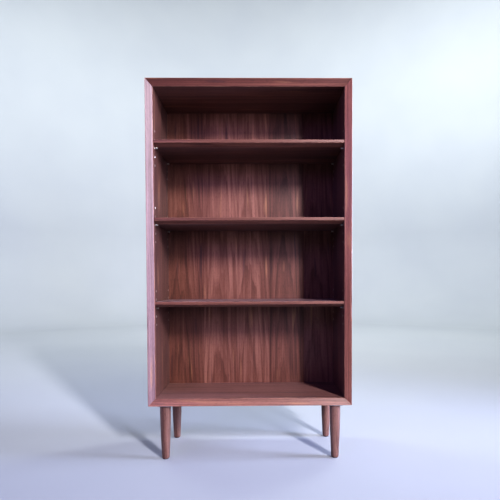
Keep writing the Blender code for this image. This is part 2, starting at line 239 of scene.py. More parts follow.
def new_material(name: str) -> tuple[Material, Tree, Node]:
    """Starts an empty node material.

    Args:
        name: The material's name.

    Returns:
        The material, its node tree and its Principled shader, already linked to the output.
    """
    material = bpy.data.materials.new(name)
    material.use_nodes = True
    tree = material.node_tree
    tree.nodes.clear()
    shader = add_node(tree, "ShaderNodeBsdfPrincipled")
    add_node(tree, "ShaderNodeOutputMaterial", inputs={"Surface": shader.outputs["BSDF"]})
    return material, tree, shader


# ----- Finishes -----


class Cut(NamedTuple):
    """Where a surface was cut from the log, in metres."""

    pith_depth: float
    pith_aside: float
    fall: float
    ring_width: float


class Figure(Enum):
    """Named cuts of walnut, each with its own grain figure."""

    CATHEDRAL_VENEER = Cut(0.003, 0.015, 0.030, 0.0085)
    QUIET_VENEER = Cut(0.020, 0.090, 0.020, 0.0080)
    STRAIGHT_SOLID = Cut(0.040, 0.160, 0.010, 0.0060)


class WoodAxes(NamedTuple):
    """A piece's coordinates in the wood: across the grain, through the board and along the grain."""

    tree: Tree
    across: Socket
    through: Socket
    along: Socket

    def noise(self, cross_scale: float, grain_scale: float, detail: float) -> Socket:
        """Noise drawn out along the grain.

        Args:
            cross_scale: Features per metre across the grain.
            grain_scale: Features per metre along the grain.
            detail: Octaves of noise.

        Returns:
            The noise value, about 0 to 1.
        """
        scales = (cross_scale, cross_scale, grain_scale)
        places = [sum_up("MULTIPLY", axis, scale) for axis, scale in zip(self[1:], scales)]
        place = add_node(self.tree, "ShaderNodeCombineXYZ", inputs=dict(enumerate(places)))
        inputs = {"Vector": place.outputs[0], "Scale": 1.0, "Detail": detail, "Roughness": 0.55}
        return add_node(self.tree, "ShaderNodeTexNoise", inputs=inputs).outputs[0]


@dataclass(frozen=True)
class WalnutFinish:
    """American walnut, sanded and hand-oiled to a satin.

    The eye gets a warm red-brown ground, darker purplish growth lines that run with the board,
    broad heartwood bands, fine fibre streaks, and short open pores that catch the light.

    Local Z of a piece is its grain direction, local X runs across it and local Y through it.
    """

    name: str
    figure: Figure
    seed: float
    light: str = "#9B7062"
    middle: str = "#6E473B"
    dark: str = "#3A1F1A"
    streak: str = "#33202A"
    leaf_width: float = 0.150
    seam_width: float = 0.0006
    seam_darkness: float = 0.35
    # What the shade's layers start from, what solid wood adds, and how far leaves differ.
    shade_start: float = -0.66
    solid_shade: float = 0.17
    leaf_weight: float = 0.34
    roughness: float = 0.42
    wear: float = 0.0
    tan: str = "#B28662"
    pore: str = "#6A4A42"
    worn: str = "#B98E76"
    bloom: str = "#F2E4EC"
    pore_depth: float = 0.0002
    # How far growth lines stray, in metres: the pith aside, bends, arch starts and waves.
    pith_spread: float = 0.05
    sway: float = 0.044
    arch_spread: float = 1.6
    waviness: float = 0.016
    # Fibres are 0.1 mm wide in the real wood and about 2.5 mm here, so that they show.
    fibre_scale: float = 400.0
    # Pores are 0.2 mm wide and 5 to 15 mm long in the real wood, and about 0.7 mm wide here.
    pore_scale: float = 1400.0

    def build(self) -> Material:
        """Makes the material.

        Returns:
            The finished material.
        """
        material, tree, shader = new_material(self.name)
        axes = self._wood_axes(tree)
        rings, leaf_tone = self._growth_lines(axes)
        fibres = axes.noise(self.fibre_scale, 6.0, 3.0)
        pores = self._pores(axes)
        shade = self._shade(axes, rings, leaf_tone, fibres)
        colour = self._colour(axes, shade, pores)
        tree.links.new(colour, shader.inputs["Base Color"])
        tree.links.new(self._satin(fibres, pores), shader.inputs["Roughness"])
        tree.links.new(self._relief(fibres, pores), shader.inputs["Normal"])
        oil = {
            "IOR": 1.5,
            "Coat Weight": 0.12,
            "Coat Roughness": 0.36,
            "Sheen Weight": 0.10,
            "Sheen Roughness": 0.45,
            "Sheen Tint": linear(self.bloom),
        }
        for socket, value in oil.items():
            shader.inputs[socket].default_value = value
        return material

    def _wood_axes(self, tree: Tree) -> WoodAxes:
        """Splits the piece's own coordinates, shifted so that each board differs.

        Args:
            tree: The node tree.

        Returns:
            The wood's coordinates.
        """
        source = add_node(tree, "ShaderNodeTexCoord")
        moved = add_node(
            tree,
            "ShaderNodeVectorMath",
            {"operation": "ADD"},
            {0: source.outputs["Object"], 1: (0.371 * self.seed, 0.0, 1.713 * self.seed)},
        )
        split = add_node(tree, "ShaderNodeSeparateXYZ", inputs={0: moved.outputs[0]})
        return WoodAxes(tree, *split.outputs)

    def _veneer_leaves(self, axes: WoodAxes, feature: str) -> Node:
        """Divides the width into veneer leaves of differing widths.

        Args:
            axes: The wood's coordinates.
            feature: Blender's name of what is measured.

        Returns:
            The texture node.
        """
        place = sum_up("DIVIDE", axes.across, self.leaf_width)
        settings = {"voronoi_dimensions": "1D", "feature": feature}
        inputs = {"W": place, "Scale": 1.0, "Randomness": 0.75}
        return add_node(axes.tree, "ShaderNodeTexVoronoi", settings, inputs)

    def _growth_lines(self, axes: WoodAxes) -> tuple[Socket, Socket]:
        """Growth lines cut from a leaning trunk, so that they close in long arches.

        Args:
            axes: The wood's coordinates.

        Returns:
            Darkness of the growth lines, and a tone that differs from one veneer leaf to the next.
        """
        cut = self.figure.value
        leaf = self._veneer_leaves(axes, "F1")
        random = add_node(axes.tree, "ShaderNodeSeparateColor", inputs={0: leaf.outputs["Color"]})
        middle = sum_up("MULTIPLY", leaf.outputs["W"], self.leaf_width)
        cell = sum_up("SUBTRACT", axes.across, middle)
        aside = spread(random.outputs[0], self.pith_spread, cut.pith_aside)
        sway = spread(axes.noise(4.0, 1.3, 2.0), self.sway)
        side = sum_up("ADD", sum_up("ADD", cell, aside), sway)
        start = spread(random.outputs[1], self.arch_spread)
        climb = sum_up("MULTIPLY", sum_up("ADD", axes.along, start), cut.fall)
        depth = sum_up("ADD", sum_up("ABSOLUTE", climb), cut.pith_depth)
        depth = sum_up("ADD", depth, axes.through)
        squares = sum_up("MULTIPLY", side, side)
        squares = sum_up("MULTIPLY_ADD", depth, depth, squares)
        waves = spread(axes.noise(30.0, 1.6, 3.0), self.waviness)
        reach = sum_up("ADD", sum_up("SQRT", squares), waves)
        phase = sum_up("FRACT", sum_up("DIVIDE", reach, cut.ring_width))
        ramp = colour_ramp(phase, {0.0: 0.5, 0.12: 0.05, 0.55: 0.25, 0.88: 1.0})
        fine = sum_up("FRACT", sum_up("DIVIDE", reach, cut.ring_width * 0.37))
        both = sum_up("MULTIPLY_ADD", fine, 0.3, sum_up("MULTIPLY", ramp, 0.7))
        return both, random.outputs[2]

    def _pores(self, axes: WoodAxes) -> Socket:
        """Short dark pores scattered along the grain.

        Args:
            axes: The wood's coordinates.

        Returns:
            1 inside a pore and 0 outside.
        """
        noise = axes.noise(self.pore_scale, 70.0, 1.0)
        return colour_ramp(noise, {0.57: 0.0, 0.66: 1.0})

    def _shade(self, axes: WoodAxes, rings: Socket, leaf_tone: Socket, fibres: Socket) -> Socket:
        """Adds up how dark each layer makes the wood.

        Args:
            axes: The wood's coordinates.
            rings: Darkness of the growth lines.
            leaf_tone: A tone for each veneer leaf.
            fibres: Fine noise along the grain.

        Returns:
            The shade, from 0 for pale to 1 for dark.
        """
        bands = axes.noise(13.0, 0.6, 2.0)
        stripes = axes.noise(75.0, 1.1, 2.0)
        shade: Socket | float = self.shade_start
        for layer, weight in ((rings, 0.24), (fibres, 0.40), (bands, 0.70), (stripes, 0.70)):
            shade = sum_up("MULTIPLY_ADD", layer, weight, shade)
        if self.figure is Figure.STRAIGHT_SOLID:
            return sum_up("ADD", shade, self.solid_shade)
        shade = sum_up("MULTIPLY_ADD", leaf_tone, self.leaf_weight, shade)
        joint = self._veneer_leaves(axes, "DISTANCE_TO_EDGE")
        reach = (0.0, self.seam_width / self.leaf_width)
        seam = remap(joint.outputs["Distance"], reach, (self.seam_darkness, 0.0))
        return sum_up("ADD", shade, seam)

    def _colour(self, axes: WoodAxes, shade: Socket, pores: Socket) -> Socket:
        """Turns the shade into the wood's tones, with purple mineral streaks and dark pores.

        Args:
            axes: The wood's coordinates.
            shade: How dark the wood is.
            pores: 1 inside a pore.

        Returns:
            The wood's colour.
        """
        ramp = colour_ramp(shade, {0.10: self.light, 0.50: self.middle, 0.95: self.dark})
        lens = axes.noise(42.0, 4.0, 1.0)
        marks = remap(lens, (0.66, 0.76), (0.0, 0.55))
        streaked = mix_colour("MIX", marks, ramp, self.streak)
        glow = remap(lens, (0.34, 0.24), (0.0, 0.40))
        tan = mix_colour("MIX", glow, streaked, self.tan)
        dull = sum_up("MULTIPLY", pores, 0.40)
        wood = mix_colour("MULTIPLY", dull, tan, self.pore)
        if self.wear <= 0.0:
            return wood
        rubbed = axes.noise(90.0, 14.0, 3.0)
        worn = remap(rubbed, (0.35, 0.65), (0.0, self.wear))
        return mix_colour("MIX", worn, wood, self.worn)

    def _satin(self, fibres: Socket, pores: Socket) -> Socket:
        """Roughness of the oiled surface, a little duller on soft fibres and in pores."""
        value = sum_up("MULTIPLY_ADD", fibres, 0.08, self.roughness - 0.04)
        return sum_up("MULTIPLY_ADD", pores, 0.10, value)

    def _relief(self, fibres: Socket, pores: Socket) -> Socket:
        """Shallow relief: open pores with a faint fibre texture between them.

        Args:
            fibres: Fine noise along the grain.
            pores: 1 inside a pore.

        Returns:
            The bent normal.
        """
        fibre_height = sum_up("MULTIPLY", fibres, 0.5)
        height = sum_up("MULTIPLY_ADD", pores, -1.0, fibre_height)
        return bump(height, 0.16, self.pore_depth)


@dataclass(frozen=True)
class MetalFinish:
    """Plated steel, tumbled and then plated, so it shows faint cloudy roughness and fine scratches."""

    name: str
    colour: str
    roughness: float
    cloud_scale: float = 240.0
    cloudiness: float = 0.35
    scratch_scale: float = 900.0
    scratch_depth: float = 0.00005

    def build(self) -> Material:
        """Makes the material.

        Returns:
            The finished material.
        """
        material, tree, shader = new_material(self.name)
        cloud = object_noise(tree, self.cloud_scale, 3.0)
        scratch = object_noise(tree, self.scratch_scale, 2.0)
        duller = (self.roughness - 0.07, self.roughness + 0.09)
        tint = mix_colour("MULTIPLY", self.cloudiness, self.colour, cloud.outputs["Color"])
        rough = remap(cloud.outputs[0], target=duller)
        relief = bump(scratch.outputs[0], 0.12, self.scratch_depth)
        tree.links.new(tint, shader.inputs["Base Color"])
        tree.links.new(rough, shader.inputs["Roughness"])
        tree.links.new(relief, shader.inputs["Normal"])
        shader.inputs["Metallic"].default_value = 1.0
        return material


@dataclass(frozen=True)
class NylonFinish:
    """Moulded nylon, with the fine spark-eroded texture of its mould."""

    name: str = "moulded nylon glide"
    colour: str = "#2B2420"
    high_colour: str = "#3A322D"
    grit_scale: float = 1600.0
    grit_depth: float = 0.0001

    def build(self) -> Material:
        """Makes the material.

        Returns:
            The finished material.
        """
        material, tree, shader = new_material(self.name)
        grit = object_noise(tree, self.grit_scale, 2.0).outputs[0]
        ramp = colour_ramp(grit, {0.3: self.colour, 0.8: self.high_colour})
        tree.links.new(ramp, shader.inputs["Base Color"])
        tree.links.new(bump(grit, 0.2, self.grit_depth), shader.inputs["Normal"])
        shader.inputs["Roughness"].default_value = 0.55
        shader.inputs["IOR"].default_value = 1.53
        return material


@dataclass(frozen=True)
class PaperSweepFinish:
    """Matt pale background paper, with only a breath of unevenness."""

    name: str = "pale background paper"
    light: str = "#ABAFB4"
    dark: str = "#A8ACB2"
    cloud_scale: float = 1.3

    def build(self) -> Material:
        """Makes the material.

        Returns:
            The finished material.
        """
        material, tree, shader = new_material(self.name)
        cloud = object_noise(tree, self.cloud_scale, 2.0)
        ramp = colour_ramp(cloud.outputs[0], {0.3: self.dark, 0.7: self.light})
        tree.links.new(ramp, shader.inputs["Base Color"])
        shader.inputs["Roughness"].default_value = 0.8
        shader.inputs["Specular IOR Level"].default_value = 0.2
        return material


@dataclass
class FinishBook:
    """Every finish on the bookcase, built once and shared by name."""

    made: dict[str, Material] = field(default_factory=dict)

    def once(self, finish: WalnutFinish | MetalFinish | NylonFinish) -> Material:
        """Gives a finish's material, built the first time it is asked for.

        Args:
            finish: The finish, whose name tells it from the others.

        Returns:
            The material.
        """
        if finish.name not in self.made:
            self.made[finish.name] = finish.build()
        return self.made[finish.name]

    def walnut(self, name: str, figure: Figure, seed: float, **tones: Any) -> Material:
        """Gives a walnut finish, with the fields of WalnutFinish in tones changed."""
        return self.once(WalnutFinish(name, figure, seed, **tones))

    def worn_arris(self) -> Material:
        """Walnut rubbed paler by hands, on the eased edges of boards and shelves."""
        return self.walnut("oiled walnut worn arris", Figure.STRAIGHT_SOLID, 31.0, wear=0.55)

    def nickel(self) -> Material:
        """Satin nickel plate, on the shelf pins and sleeves."""
        return self.once(MetalFinish("satin nickel plated steel", "#E4E0DA", 0.36))

    def zinc(self) -> Material:
        """Bright zinc plate, on plates, bolts and screws."""
        return self.once(MetalFinish("bright zinc plated steel", "#B9BCC2", 0.36))

    def nylon(self) -> Material:
        """Dark nylon, on the floor glides."""
        return self.once(NylonFinish())


# ----- Mesh helpers -----


def add_object(name: str, data: bpy.types.ID) -> Piece:
    """Makes an object and puts it in the scene.

    Args:
        name: The object's name.
        data: Its mesh, light or camera.

    Returns:
        The new object.
    """
    made = bpy.data.objects.new(name, data)
    bpy.context.scene.collection.objects.link(made)
    return made


def new_piece(name: str, bm: Bm, materials: Iterable[Material]) -> Piece:
    """Turns a bmesh into a named object with its finishes.

    Args:
        name: The piece's name.
        bm: The mesh, which is freed.
        materials: The finishes, in the order of the faces' material indexes.

    Returns:
        The new object.
    """
    bmesh.ops.recalc_face_normals(bm, faces=bm.faces)
    mesh = bpy.data.meshes.new(name)
    bm.to_mesh(mesh)
    bm.free()
    for material in materials:
        mesh.materials.append(material)
    smooth(mesh)
    piece = add_object(name, mesh)
    keep_flats(piece)
    return piece


def smooth(mesh: bpy.types.Mesh) -> None:
    """Shades a mesh smooth, except across edges that turn by more than an arris part does."""
    mesh.shade_smooth()
    mesh.set_sharp_from_angle(angle=math.radians(28.0))


def keep_flats(piece: Piece) -> None:
    """Makes wide faces shade flat, so that only an eased edge looks round.

    Args:
        piece: The piece to shade.
    """
    weighted = piece.modifiers.new("Flat faces", "WEIGHTED_NORMAL")
    weighted.keep_sharp = True
    weighted.weight = 90


def stand_in(piece: Piece, body: str, slot: str, *nodes: str) -> Piece:
    """Puts a piece on its body in the place of the frame's own nodes.

    Args:
        piece: The dressed piece.
        body: The body that it rides on.
        slot: Not used.
        nodes: The frame's nodes that it replaces.

    Returns:
        The same piece.
    """
    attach(piece, body)
    if nodes:
        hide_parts(*nodes)
    return piece


def rounded_outline(corners: Sequence[Point2], radii: Sequence[float], parts: int = 3) -> list[Point2]:
    """Rounds the corners of a closed outline with arcs.

    Args:
        corners: The outline's corners in order.
        radii: The rounding at each corner, or zero for a sharp one.
        parts: Straight parts in each arc.

    Returns:
        The rounded outline's points.
    """
    points: list[Point2] = []
    count = len(corners)
    for index, (corner, radius) in enumerate(zip(corners, radii)):
        here = Vector(corner)
        if radius <= 0.0:
            points.append((here.x, here.y))
            continue
        before = (Vector(corners[index - 1]) - here).normalized()
        after = (Vector(corners[(index + 1) % count]) - here).normalized()
        half = before.angle(after) / 2
        reach = radius / math.tan(half)
        centre = here + (before + after).normalized() * radius / math.sin(half)
        first = here + before * reach - centre
        last = here + after * reach - centre
        for step in range(parts + 1):
            arm = first.lerp(last, step / parts).normalized() * radius
            points.append((centre.x + arm.x, centre.y + arm.y))
    return points


def prism(outline: Sequence[Point2], length: float) -> Bm:
    """Extrudes an outline in local X and Y along local Z.

    Args:
        outline: The section's points in order.
        length: The length, half of it on each side of Z 0.

    Returns:
        The closed mesh.
    """
    bm = bmesh.new()
    rim = [bm.verts.new((x, y, -length / 2)) for x, y in outline]
    face = bm.faces.new(rim)
    made = bmesh.ops.extrude_face_region(bm, geom=[face])
    lifted = [item for item in made["geom"] if isinstance(item, bmesh.types.BMVert)]
    bmesh.ops.translate(bm, vec=(0.0, 0.0, length), verts=lifted)
    return bm


def mark_arrises(bm: Bm, index: int) -> None:
    """Gives the narrow faces along a board's eased edges a finish of their own.

    Args:
        bm: The board's mesh, with its length along local Z.
        index: The material index of the worn edges.
    """
    bm.normal_update()
    for face in bm.faces:
        width = face.calc_area() / max(edge.calc_length() for edge in face.edges)
        if width < WIDEST_ARRIS_FACE and abs(face.normal.z) < 0.5:
            face.material_index = index


def cut_end(bm: Bm, point: Vector, normal: Vector) -> None:
    """Saws off what lies beyond a plane and closes the cut.

    Args:
        bm: The mesh to cut.
        point: A point on the plane.
        normal: The direction in which the wood is taken away.
    """
    everything = list(bm.verts) + list(bm.edges) + list(bm.faces)
    cut = bmesh.ops.bisect_plane(
        bm, geom=everything, dist=1e-7, plane_co=point, plane_no=normal, clear_outer=True
    )
    rim = [item for item in cut["geom_cut"] if isinstance(item, bmesh.types.BMEdge)]
    bmesh.ops.holes_fill(bm, edges=rim, sides=0)


def lathe(profile: Sequence[Point2], steps: int) -> Bm:
    """Turns a profile of (radius, height) points about local Z.

    Args:
        profile: The points, from one end of the axis to the other, or a closed ring's section.
        steps: Sides of the turned shape.

    Returns:
        The turned mesh.
    """
    bm = bmesh.new()
    rim = [bm.verts.new((radius, 0.0, height)) for radius, height in profile]
    edges = [bm.edges.new(pair) for pair in zip(rim, rim[1:])]
    if profile[0][0] > 1e-6:
        edges.append(bm.edges.new((rim[-1], rim[0])))
    bmesh.ops.spin(
        bm,
        geom=rim + edges,
        cent=(0.0, 0.0, 0.0),
        axis=(0.0, 0.0, 1.0),
        angle=math.tau,
        steps=steps,
        use_merge=True,
    )
    bmesh.ops.remove_doubles(bm, verts=bm.verts, dist=1e-6)
    return bm


def arc(centre: Point2, radius: float, start: float, end: float, parts: int = 4) -> list[Point2]:
    """Points of an arc, with its angles in degrees."""
    angles = [math.radians(start + (end - start) * step / parts) for step in range(parts + 1)]
    return [(centre[0] + radius * math.cos(a), centre[1] + radius * math.sin(a)) for a in angles]


def add_rod(bm: Bm, middle: Vector, diameter: float, length: float, axis: str) -> None:
    """Adds a round rod that lies along X or Y, to drill with.

    Args:
        bm: The mesh that the rod goes into.
        middle: The rod's middle.
        diameter: Its diameter.
        length: Its length.
        axis: The axis that it is turned about, "Y" to lie along X or "X" to lie along Y.
    """
    bmesh.ops.create_cone(
        bm,
        cap_ends=True,
        segments=24,
        radius1=diameter / 2,
        radius2=diameter / 2,
        depth=length,
        matrix=Matrix.Translation(middle) @ Matrix.Rotation(math.pi / 2, 4, axis),
    )


def drill(piece: Piece, cutters: Sequence[Piece]) -> None:
    """Cuts holes in a piece, keeps the result as its mesh and removes the cutters.

    Args:
        piece: The piece to cut.
        cutters: Closed shapes of what is taken away.
    """
    piece.modifiers.clear()
    for cutter in cutters:
        boolean = piece.modifiers.new("Drill", "BOOLEAN")
        boolean.operation = "DIFFERENCE"
        boolean.solver = "EXACT"
        boolean.object = cutter
    graph = bpy.context.evaluated_depsgraph_get()
    mesh = bpy.data.meshes.new_from_object(piece.evaluated_get(graph))
    piece.modifiers.clear()
    piece.data = mesh
    smooth(mesh)
    keep_flats(piece)
    for cutter in cutters:
        bpy.data.objects.remove(cutter, do_unlink=True)


# ----- Sub-assemblies -----


def inner_face(side: str) -> float:
    """Gives the X of a side board's inner face, for "left" or "right"."""
    low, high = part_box(f"{side}_side")
    return high.x if side == "left" else low.x


def inward_sign(side: str) -> float:
    """Gives the X direction from a side board into the case, for "left" or "right"."""
    return 1.0 if side == "left" else -1.0


@dataclass
class PinHoleGrid:
    """Where the pin holes are, in rows of five round each shelf's own pins."""

    pitch: float = 0.032
    each_way: int = 2
    bore: float = 0.0072
    depth: float = 0.0130

    def places(self, side: str) -> list[Point3]:
        """Gives the mouth of every hole in one side.

        Args:
            side: "left" or "right".

        Returns:
            The middle of each hole's mouth, in the frame.
        """
        found = []
        inner = inner_face(side)
        for number in (1, 2, 3):
            for row in ("front", "back"):
                low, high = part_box(f"pin_{number}_{row}_{side}")
                middle = (low + high) / 2
                for step in range(-self.each_way, self.each_way + 1):
                    found.append((inner, middle.y, middle.z + step * self.pitch))
        return found


@dataclass
class CaseBoard:
    """One mitred board of the case, veneered, with a solid sloping front edge."""

    node: str
    turn: float
    figure: Figure
    seed: float
    lip_seed: float = 11.0
    # The lip's pale and middle tones: each board sets its own, as painted light or shade on its
    # sloping front.
    lip_pale_and_painted_light: str = "#A26F5E"
    lip_middle_and_painted_light: str = "#7C4C40"
    lip_roughness: float = 0.44
    slope: float = 0.012
    rabbet: float = 0.010
    arris: float = 0.0009

    def build(self, book: FinishBook, grid: PinHoleGrid) -> Piece:
        """Builds, drills and dresses the board.

        Args:
            book: The finishes.
            grid: Where the pin holes are.

        Returns:
            The board.
        """
        low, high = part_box(self.node)
        upright = self.node.endswith("side")
        thickness = (high.x - low.x) if upright else (high.z - low.z)
        depth = high.y - low.y
        length = (high.z - low.z) if upright else (high.x - low.x)
        bm = prism(self._outline(thickness, depth), length)
        for end in (-1, 1):
            normal = Vector((1.0, 0.0, end)).normalized()
            cut_end(bm, Vector((0.0, 0.0, end * length / 2)), normal)
        self._mark_faces(bm)
        veneer = book.walnut(f"oiled walnut veneer {self.node}", self.figure, self.seed)
        # The lip's tones carry this board's painted light or shade; on the left lip they are a painted
        # reflection.
        lip = book.walnut(
            f"oiled solid walnut edge {self.node}",
            Figure.STRAIGHT_SOLID,
            self.lip_seed,
            light=self.lip_pale_and_painted_light,
            middle=self.lip_middle_and_painted_light,
            roughness=self.lip_roughness,
        )
        board = new_piece(f"dressed_{self.node}", bm, (veneer, lip, book.worn_arris()))
        middle = (low + high) / 2
        outer = {
            "left_side": Vector((low.x, low.y, middle.z)),
            "right_side": Vector((high.x, low.y, middle.z)),
            "top_panel": Vector((middle.x, low.y, high.z)),
            "bottom_panel": Vector((middle.x, low.y, low.z)),
        }[self.node]
        board.location = outer
        board.rotation_euler = (0.0, self.turn, 0.0)
        if upright:
            self._drill_pin_holes(board, grid)
        return stand_in(board, "case", "walnut_case", self.node)

    def _outline(self, thickness: float, depth: float) -> list[Point2]:
        """Draws the section of the board, with its arrises eased by hand.

        Args:
            thickness: The board's thickness.
            depth: The board's depth from front to back.

        Returns:
            The section's points, with the outer front arris at the origin.
        """
        back_low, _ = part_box("back_panel")
        front_low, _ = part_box(self.node)
        inner_depth = back_low.y - front_low.y
        rabbet_x = thickness - self.rabbet
        corners = [
            (0.0, 0.0),
            (thickness, self.slope),
            (thickness, inner_depth),
            (rabbet_x, inner_depth),
            (rabbet_x, depth),
            (0.0, depth),
        ]
        radii = [self.arris, self.arris * 1.6, 0.0, 0.0, self.arris / 2, self.arris]
        return rounded_outline(corners, radii)

    def _mark_faces(self, bm: Bm) -> None:
        """Gives the sloping front and the eased edges their finishes.

        Args:
            bm: The board's mesh.
        """
        bm.normal_update()
        lip_end = self.slope + WIDEST_ARRIS_FACE
        for face in bm.faces:
            if face.calc_center_median().y < lip_end and abs(face.normal.z) < 0.5:
                face.material_index = 1
        mark_arrises(bm, 2)

    def _drill_pin_holes(self, board: Piece, grid: PinHoleGrid) -> None:
        """Drills the two rows of pin holes from inside.

        Args:
            board: The board, which is placed already.
            grid: Where the pin holes are.
        """
        side = self.node.split("_")[0]
        inward = inward_sign(side)
        bm = bmesh.new()
        for x, y, z in grid.places(side):
            middle = Vector((x - inward * (grid.depth - CUTTER_START) / 2, y, z))
            add_rod(bm, middle, grid.bore, grid.depth + CUTTER_START, "Y")
        cutter = new_piece(f"drill_{side}", bm, ())
        drill(board, [cutter])


@dataclass
class BackPanel:
    """The veneered back, with upright grain in matched leaves, screwed into the rabbet."""

    node: str = "back_panel"
    seed: float = 3.0
    arris: float = 0.0005
    sink: float = 0.0080
    sink_length: float = 0.030

    def build(self, book: FinishBook) -> Piece:
        """Builds and dresses the panel.

        Args:
            book: The finishes.

        Returns:
            The panel.
        """
        low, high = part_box(self.node)
        size = high - low
        corners = [(-size.x / 2, 0.0), (size.x / 2, 0.0), (size.x / 2, size.y), (-size.x / 2, size.y)]
        bm = prism(rounded_outline(corners, [self.arris] * 4, 2), size.z)
        veneer = book.walnut("oiled walnut veneer back", Figure.CATHEDRAL_VENEER, self.seed)
        mark_arrises(bm, 1)
        panel = new_piece("dressed_back_panel", bm, (veneer, book.worn_arris()))
        panel.location = ((low.x + high.x) / 2, low.y, (low.z + high.z) / 2)
        sinks = bmesh.new()
        for name in sorted(bpy.data.objects.keys()):
            if name.startswith("back_screw_"):
                a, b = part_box(name)
                middle = (a + b) / 2
                place = Vector((middle.x, high.y, middle.z))
                add_rod(sinks, place, self.sink, self.sink_length, "X")
        drill(panel, [new_piece("drill_back", sinks, ())])
        return stand_in(panel, "case", "walnut_back", self.node)


@dataclass
class AdjustableShelf:
    """A loose shelf with a thin front edge and a long slope below it."""

    number: int
    seed: float
    edge_height: float = 0.011
    slope_run: float = 0.021
    arris: float = 0.0008

    def build(self, book: FinishBook) -> Piece:
        """Builds and dresses the shelf.

        Args:
            book: The finishes.

        Returns:
            The shelf.
        """
        node = f"shelf_{self.number}"
        low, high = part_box(node)
        depth = high.y - low.y
        thickness = high.z - low.z
        corners = [
            (0.0, thickness - self.edge_height),
            (self.slope_run, 0.0),
            (depth, 0.0),
            (depth, thickness),
            (0.0, thickness),
        ]
        radii = [self.arris, self.arris * 2, self.arris / 2, self.arris / 2, self.arris]
        bm = prism(rounded_outline(corners, radii), high.x - low.x)
        bm.normal_update()
        for face in bm.faces:
            if face.calc_center_median().x < self.slope_run and abs(face.normal.z) < 0.5:
                face.material_index = 1
        veneer = book.walnut(f"oiled walnut veneer {node}", Figure.QUIET_VENEER, self.seed)
        lip = book.walnut(f"oiled solid walnut edge {node}", Figure.STRAIGHT_SOLID, self.seed + 20.0)
        mark_arrises(bm, 2)
        shelf = new_piece(f"dressed_{node}", bm, (veneer, lip, book.worn_arris()))
        shelf.rotation_euler = (math.pi / 2, 0.0, math.pi / 2)
        shelf.location = ((low.x + high.x) / 2, low.y, low.z)
        return stand_in(shelf, node, "walnut_shelf", node)


@dataclass
class ShelfPin:
    """A turned shelf pin: a shank in its sleeve and a smooth head under the shelf."""

    number: int
    row: str
    side: str
    shank: float = 0.0050
    head: float = 0.0070
    collar_gap: float = 0.0009
    rounding: float = 0.0012
    head_chamfer: float = 0.0004
    tip_chamfer: float = 0.0005

    def build(self, book: FinishBook) -> Piece:
        """Builds and dresses the pin.

        Args:
            book: The finishes.

        Returns:
            The pin.
        """
        side = self.side
        node = f"pin_{self.number}_{self.row}_{side}"
        low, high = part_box(node)
        inward = inward_sign(side)
        wall = inner_face(side)
        head_end = abs((high.x if side == "left" else low.x) - wall)
        shank_end = abs((low.x if side == "left" else high.x) - wall)
        head_radius = self.head / 2
        shank_radius = self.shank / 2
        tip = (head_radius - self.rounding, head_end - self.rounding)
        profile = [(0.0, head_end)]
        profile += arc(tip, self.rounding, 90, 0)
        profile += [
            (head_radius, self.collar_gap + self.head_chamfer),
            (head_radius - self.head_chamfer, self.collar_gap),
            (shank_radius, self.collar_gap),
            (shank_radius, self.tip_chamfer - shank_end),
            (shank_radius - self.tip_chamfer, -shank_end),
            (0.0, -shank_end),
        ]
        pin = new_piece(f"dressed_{node}", lathe(profile, 32), (book.nickel(),))
        pin.location = (wall, (low.y + high.y) / 2, (low.z + high.z) / 2)
        pin.rotation_euler = (0.0, inward * math.pi / 2, 0.0)
        return stand_in(pin, node, "nickel", node)


@dataclass
class PinSleeves:
    """The metal sleeves that line one side's pin holes, each with a thin flange on the wood."""

    grid: PinHoleGrid
    side: str
    bore: float = 0.0053
    flange: float = 0.0086
    proud: float = 0.0006
    length: float = 0.0120
    fit_gap: float = 0.0001
    mouth_chamfer: float = 0.0003
    flange_chamfer: float = 0.0004
    flange_edge: float = 0.0002
    wood_gap: float = 0.00005

    def build(self, book: FinishBook) -> list[Piece]:
        """Builds and dresses the thirty sleeves.

        Args:
            book: The finishes.

        Returns:
            The sleeves, which share one mesh.
        """
        bore_radius = self.bore / 2
        flange_radius = self.flange / 2
        tube_radius = self.grid.bore / 2 - self.fit_gap
        section = [
            (bore_radius, -self.length),
            (bore_radius, self.proud - self.mouth_chamfer),
            (bore_radius + self.mouth_chamfer, self.proud),
            (flange_radius - self.flange_chamfer, self.proud),
            (flange_radius, self.flange_edge),
            (flange_radius, self.wood_gap),
            (tube_radius, self.wood_gap),
            (tube_radius, -self.length),
        ]
        inward = inward_sign(self.side)
        first: Piece | None = None
        made = []
        for index, place in enumerate(self.grid.places(self.side), start=1):
            name = f"pin_sleeve_{self.side}_{index:02d}"
            if first is None:
                first = new_piece(name, lathe(section, 28), (book.nickel(),))
                sleeve = first
            else:
                sleeve = add_object(name, first.data)
                keep_flats(sleeve)
            sleeve.location = place
            sleeve.rotation_euler = (0.0, inward * math.pi / 2, 0.0)
            made.append(stand_in(sleeve, "case", "nickel"))
        return made


